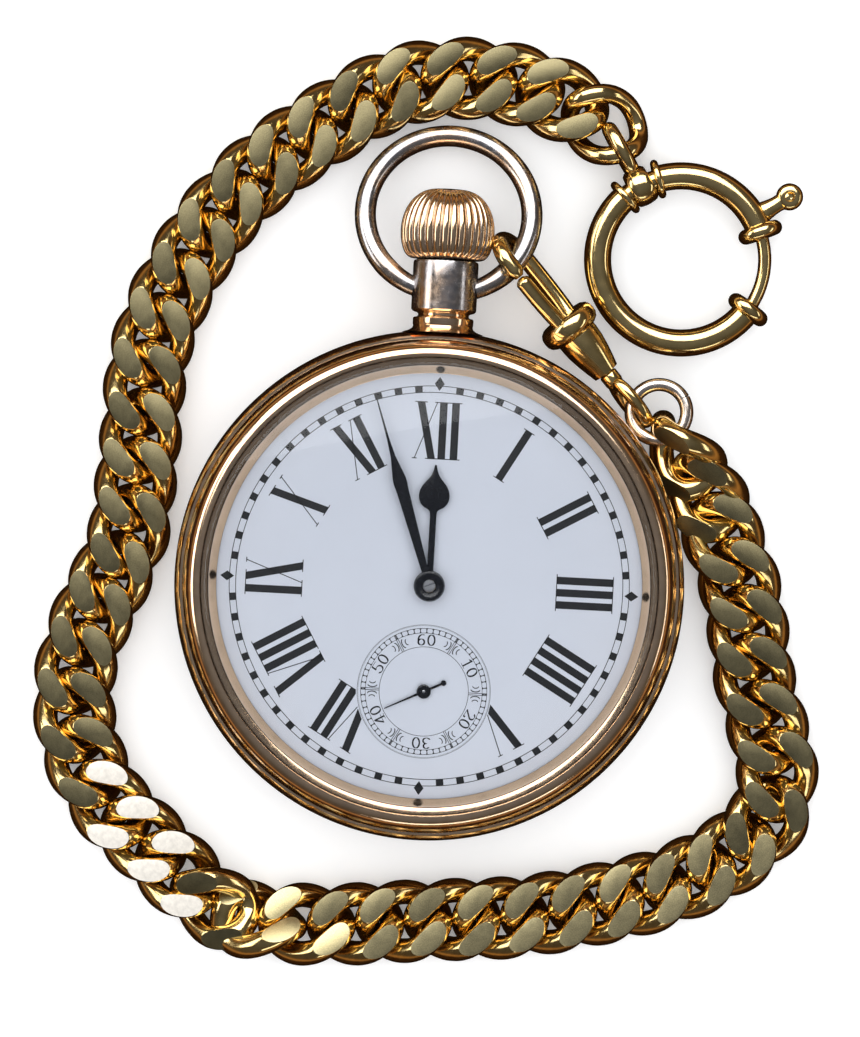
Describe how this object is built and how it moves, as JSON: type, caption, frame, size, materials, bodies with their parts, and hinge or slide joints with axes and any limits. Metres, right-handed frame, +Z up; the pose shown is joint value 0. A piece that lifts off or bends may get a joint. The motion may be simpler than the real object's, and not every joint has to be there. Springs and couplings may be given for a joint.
{
  "type": "pocket watch",
  "caption": "Open-face pocket watch with a winding crown and hinged bow, small seconds dial, curb chain, snap hook and bolt ring.",
  "frame": {"origin": "middle of the flat under the case back, on the surface the watch lies on", "axes": "+Z up through the middle of the dial, +Y towards the crown and bow, +X to the right as the dial is read"},
  "size_m": [0.0773, 0.0918, 0.0124],
  "materials": {
    "rose_gold": "polished rose gold",
    "chain_gold": "polished yellow gold, worn",
    "worn_plate": "worn plating, grey with gold showing",
    "brass": "brushed brass",
    "steel": "satin steel",
    "blued_steel": "dark blued steel",
    "nickel": "nickel finish",
    "enamel": "white enamel",
    "glass": "clear glass"
  },
  "bodies": {
    "case": {"case_middle": "rose_gold", "case_back": "rose_gold", "bezel": "rose_gold", "crystal": "glass", "dial": "enamel", "movement_ring": "brass", "pendant": "worn_plate", "main_plate": "nickel", "barrel_bridge": "nickel", "train_bridge": "nickel", "balance_cock": "nickel", "pallet_bridge": "nickel"},
    "stem_collar": {"stem_collar": "steel"},
    "crown": {"crown": "rose_gold", "winding_stem": "steel"},
    "winding_pinion": {"winding_pinion": "steel"},
    "clutch_wheel": {"clutch_wheel": "steel"},
    "crown_wheel": {"crown_wheel": "steel"},
    "ratchet": {"ratchet_wheel": "steel", "barrel_arbor": "steel"},
    "click": {"click": "steel"},
    "barrel": {"barrel": "brass", "mainspring": "steel"},
    "center": {"center_wheel": "brass", "cannon_pinion": "steel", "minute_hand": "blued_steel"},
    "third_wheel": {"third_wheel": "brass"},
    "seconds": {"fourth_wheel": "brass", "seconds_hand": "blued_steel"},
    "escape_wheel": {"escape_wheel": "steel"},
    "pallet_fork": {"pallet_fork": "steel"},
    "balance": {"balance_wheel": "brass", "hairspring": "blued_steel"},
    "minute_wheel": {"minute_wheel": "brass"},
    "hour": {"hour_wheel": "brass", "hour_hand": "blued_steel"},
    "bow": {"bow": "worn_plate"},
    "snap_body": {"snap_body": "chain_gold"},
    "snap_gate": {"snap_gate": "chain_gold"},
    "snap_swivel": {"snap_swivel": "chain_gold"},
    "jump_ring": {"jump_ring": "worn_plate"},
    "chain_run_01": {"chain_run_01": "chain_gold"},
    "chain_run_02": {"chain_run_02": "chain_gold"},
    "chain_run_03": {"chain_run_03": "chain_gold"},
    "chain_run_04": {"chain_run_04": "chain_gold"},
    "chain_run_05": {"chain_run_05": "chain_gold"},
    "chain_run_06": {"chain_run_06": "chain_gold"},
    "chain_run_07": {"chain_run_07": "chain_gold"},
    "chain_run_08": {"chain_run_08": "chain_gold"},
    "chain_run_09": {"chain_run_09": "chain_gold"},
    "chain_run_10": {"chain_run_10": "chain_gold"},
    "chain_run_11": {"chain_run_11": "chain_gold"},
    "chain_run_12": {"chain_run_12": "chain_gold"},
    "chain_run_13": {"chain_run_13": "chain_gold"},
    "chain_run_14": {"chain_run_14": "chain_gold"},
    "chain_run_15": {"chain_run_15": "chain_gold"},
    "end_ring_link": {"end_ring_link": "chain_gold"},
    "bolt_ring_swivel": {"bolt_ring_swivel": "chain_gold"},
    "bolt_ring_body": {"bolt_ring_body": "chain_gold"},
    "bolt_ring_slide": {"bolt_ring_slide": "chain_gold"}
  },
  "joints": [
    {"name": "seconds_turn", "type": "hinge", "parent": "case", "child": "seconds", "pos_m": [0, -0.0103, 0.0045], "axis": [0, 0, -1], "continuous": true},
    {"name": "third_wheel_turn", "type": "hinge", "parent": "case", "child": "third_wheel", "pos_m": [-0.0047, -0.00603, 0.0039], "axis": [0, 0, -1], "continuous": true},
    {"name": "center_turn", "type": "hinge", "parent": "case", "child": "center", "pos_m": [0, 0, 0.005], "axis": [0, 0, -1], "continuous": true},
    {"name": "escape_wheel_turn", "type": "hinge", "parent": "case", "child": "escape_wheel", "pos_m": [0.00483, -0.01159, 0.0039], "axis": [0, 0, -1], "continuous": true},
    {"name": "barrel_turn", "type": "hinge", "parent": "case", "child": "barrel", "pos_m": [0.00613, 0.00514, 0.004], "axis": [0, 0, -1], "continuous": true},
    {"name": "minute_wheel_turn", "type": "hinge", "parent": "case", "child": "minute_wheel", "pos_m": [-0.0018, 0.00312, 0.0076], "axis": [0, 0, -1], "continuous": true},
    {"name": "hour_turn", "type": "hinge", "parent": "case", "child": "hour", "pos_m": [0, 0, 0.0082], "axis": [0, 0, -1], "continuous": true},
    {"name": "pallet_fork_swing", "type": "hinge", "parent": "case", "child": "pallet_fork", "pos_m": [0.00776, -0.00866, 0.0039], "axis": [0, 0, 1], "range_deg": [-4, 4]},
    {"name": "balance_swing", "type": "hinge", "parent": "case", "child": "balance", "pos_m": [0.01038, -0.00604, 0.0027], "axis": [0, 0, 1], "range_deg": [-270, 270]},
    {"name": "crown_pull", "type": "slide", "parent": "case", "child": "stem_collar", "axis": [0, 1, 0], "range_m": [0, 0.001]},
    {"name": "crown_turn", "type": "hinge", "parent": "stem_collar", "child": "crown", "pos_m": [0, 0.03, 0.0059], "axis": [0, 1, 0], "continuous": true},
    {"name": "winding_pinion_turn", "type": "hinge", "parent": "case", "child": "winding_pinion", "pos_m": [0, 0.0155, 0.0059], "axis": [0, 1, 0], "continuous": true},
    {"name": "clutch_wheel_turn", "type": "hinge", "parent": "case", "child": "clutch_wheel", "pos_m": [0, 0.0135, 0.0059], "axis": [0, 1, 0], "continuous": true},
    {"name": "crown_wheel_turn", "type": "hinge", "parent": "case", "child": "crown_wheel", "pos_m": [0, 0.0133, 0.002], "axis": [0, 0, 1], "continuous": true},
    {"name": "ratchet_turn", "type": "hinge", "parent": "case", "child": "ratchet", "pos_m": [0.00613, 0.00514, 0.002], "axis": [0, 0, 1], "continuous": true},
    {"name": "click_swing", "type": "hinge", "parent": "case", "child": "click", "pos_m": [0.0118, 0.00842, 0.002], "axis": [0, 0, 1], "range_deg": [-8, 0], "stiffness_Nm_per_rad": 0.00001},
    {"name": "bow_swing", "type": "hinge", "parent": "case", "child": "bow", "pos_m": [0, 0.0299, 0.0059], "axis": [1, 0, 0], "range_deg": [-4, 60]},
    {"name": "snap_swing", "type": "hinge", "parent": "bow", "child": "snap_body", "pos_m": [0.00701, 0.03219, 0.00525], "axis": [0.542, 0.8078, -0.2316], "range_deg": [-6, 30]},
    {"name": "snap_gate_open", "type": "hinge", "parent": "snap_body", "child": "snap_gate", "pos_m": [0.01165, 0.02608, 0.00621], "axis": [-0.7222, -0.6022, -0.3401], "range_deg": [0, 20], "stiffness_Nm_per_rad": 0.0002, "springref_deg": -5.73},
    {"name": "snap_swivel_turn", "type": "hinge", "parent": "snap_body", "child": "snap_swivel", "pos_m": [0.01573, 0.0225, 0.00388], "axis": [0.6655, -0.7391, -0.1045], "range_deg": [-15, 15]},
    {"name": "jump_ring_swing", "type": "hinge", "parent": "snap_swivel", "child": "jump_ring", "pos_m": [0.02052, 0.01718, 0.00312], "axis": [0.7431, 0.6692, 0], "range_deg": [-5, 5]},
    {"name": "chain_01_swing", "type": "hinge", "parent": "jump_ring", "child": "chain_run_01", "pos_m": [0.0229, 0.0163, 0.003], "axis": [-0.8096, -0.587, 0], "range_deg": [-10, 2]},
    {"name": "chain_02_swing", "type": "hinge", "parent": "chain_run_01", "child": "chain_run_02", "pos_m": [0.02979, 0.00387, 0.0018], "axis": [-0.9284, -0.3716, 0], "range_deg": [-20, 20]},
    {"name": "chain_03_swing", "type": "hinge", "parent": "chain_run_02", "child": "chain_run_03", "pos_m": [0.03336, -0.00999, 0.0018], "axis": [-0.9503, -0.3114, 0], "range_deg": [-20, 20]},
    {"name": "chain_04_swing", "type": "hinge", "parent": "chain_run_03", "child": "chain_run_04", "pos_m": [0.03294, -0.02337, 0.0018], "axis": [0.7148, -0.6993, 0], "range_deg": [-20, 20]},
    {"name": "chain_05_swing", "type": "hinge", "parent": "chain_run_04", "child": "chain_run_05", "pos_m": [0.02044, -0.03003, 0.0018], "axis": [-0.2669, 0.9637, 0], "range_deg": [-20, 20]},
    {"name": "chain_06_swing", "type": "hinge", "parent": "chain_run_05", "child": "chain_run_06", "pos_m": [0.00636, -0.0327, 0.0018], "axis": [0.0815, -0.9967, 0], "range_deg": [-20, 20]},
    {"name": "chain_07_swing", "type": "hinge", "parent": "chain_run_06", "child": "chain_run_07", "pos_m": [-0.00793, -0.03398, 0.0018], "axis": [0.0554, -0.9985, 0], "range_deg": [-20, 20]},
    {"name": "chain_08_swing", "type": "hinge", "parent": "chain_run_07", "child": "chain_run_08", "pos_m": [-0.0216, -0.0313, 0.0018], "axis": [0.6415, 0.7671, 0], "range_deg": [-20, 20]},
    {"name": "chain_09_swing", "type": "hinge", "parent": "chain_run_08", "child": "chain_run_09", "pos_m": [-0.03181, -0.02129, 0.0018], "axis": [0.8449, 0.535, 0], "range_deg": [-20, 20]},
    {"name": "chain_10_swing", "type": "hinge", "parent": "chain_run_09", "child": "chain_run_10", "pos_m": [-0.0339, -0.00752, 0.0018], "axis": [-0.9686, 0.2487, 0], "range_deg": [-20, 20]},
    {"name": "chain_11_swing", "type": "hinge", "parent": "chain_run_10", "child": "chain_run_11", "pos_m": [-0.02964, 0.00607, 0.0018], "axis": [-0.9966, 0.0828, 0], "range_deg": [-20, 20]},
    {"name": "chain_12_swing", "type": "hinge", "parent": "chain_run_11", "child": "chain_run_12", "pos_m": [-0.02892, 0.02041, 0.0018], "axis": [-0.9913, 0.1313, 0], "range_deg": [-20, 20]},
    {"name": "chain_13_swing", "type": "hinge", "parent": "chain_run_12", "child": "chain_run_13", "pos_m": [-0.02374, 0.03368, 0.0018], "axis": [0.8442, -0.536, 0], "range_deg": [-20, 20]},
    {"name": "chain_14_swing", "type": "hinge", "parent": "chain_run_13", "child": "chain_run_14", "pos_m": [-0.01384, 0.04392, 0.0018], "axis": [-0.5893, 0.8079, 0], "range_deg": [-20, 20]},
    {"name": "chain_15_swing", "type": "hinge", "parent": "chain_run_14", "child": "chain_run_15", "pos_m": [-0.00108, 0.05002, 0.0018], "axis": [0.1168, -0.9932, 0], "range_deg": [-20, 20]},
    {"name": "end_ring_swing", "type": "hinge", "parent": "chain_run_15", "child": "end_ring_link", "pos_m": [0.0128, 0.04743, 0.00184], "axis": [-0.4562, -0.8899, 0], "range_deg": [-30, 30]},
    {"name": "bolt_ring_swivel_swing", "type": "hinge", "parent": "end_ring_link", "child": "bolt_ring_swivel", "pos_m": [0.01533, 0.04591, 0.0027], "axis": [-0.848, -0.5299, 0], "range_deg": [-1, 10]},
    {"name": "bolt_ring_turn", "type": "hinge", "parent": "bolt_ring_swivel", "child": "bolt_ring_body", "pos_m": [0.01878, 0.0404, 0.0023], "axis": [-0.848, -0.5299, 0], "range_deg": [-30, 30]},
    {"name": "bolt_slide", "type": "hinge", "parent": "bolt_ring_body", "child": "bolt_ring_slide", "pos_m": [0.02315, 0.0334, 0.0023], "axis": [0, 0, 1], "range_deg": [0, 45], "stiffness_Nm_per_rad": 0.0002, "springref_deg": -11.46}
  ],
  "couplings": [
    {"joint": "third_wheel_turn", "follows": "seconds_turn", "ratio": -0.13333},
    {"joint": "center_turn", "follows": "seconds_turn", "ratio": 0.016667},
    {"joint": "escape_wheel_turn", "follows": "seconds_turn", "ratio": -10},
    {"joint": "barrel_turn", "follows": "seconds_turn", "ratio": -0.002381},
    {"joint": "minute_wheel_turn", "follows": "seconds_turn", "ratio": -0.0055556},
    {"joint": "hour_turn", "follows": "seconds_turn", "ratio": 0.0013889},
    {"joint": "winding_pinion_turn", "follows": "crown_turn", "ratio": 1},
    {"joint": "clutch_wheel_turn", "follows": "crown_turn", "ratio": 1},
    {"joint": "crown_wheel_turn", "follows": "crown_turn", "ratio": 0.6087},
    {"joint": "ratchet_turn", "follows": "crown_turn", "ratio": -0.54106}
  ]
}
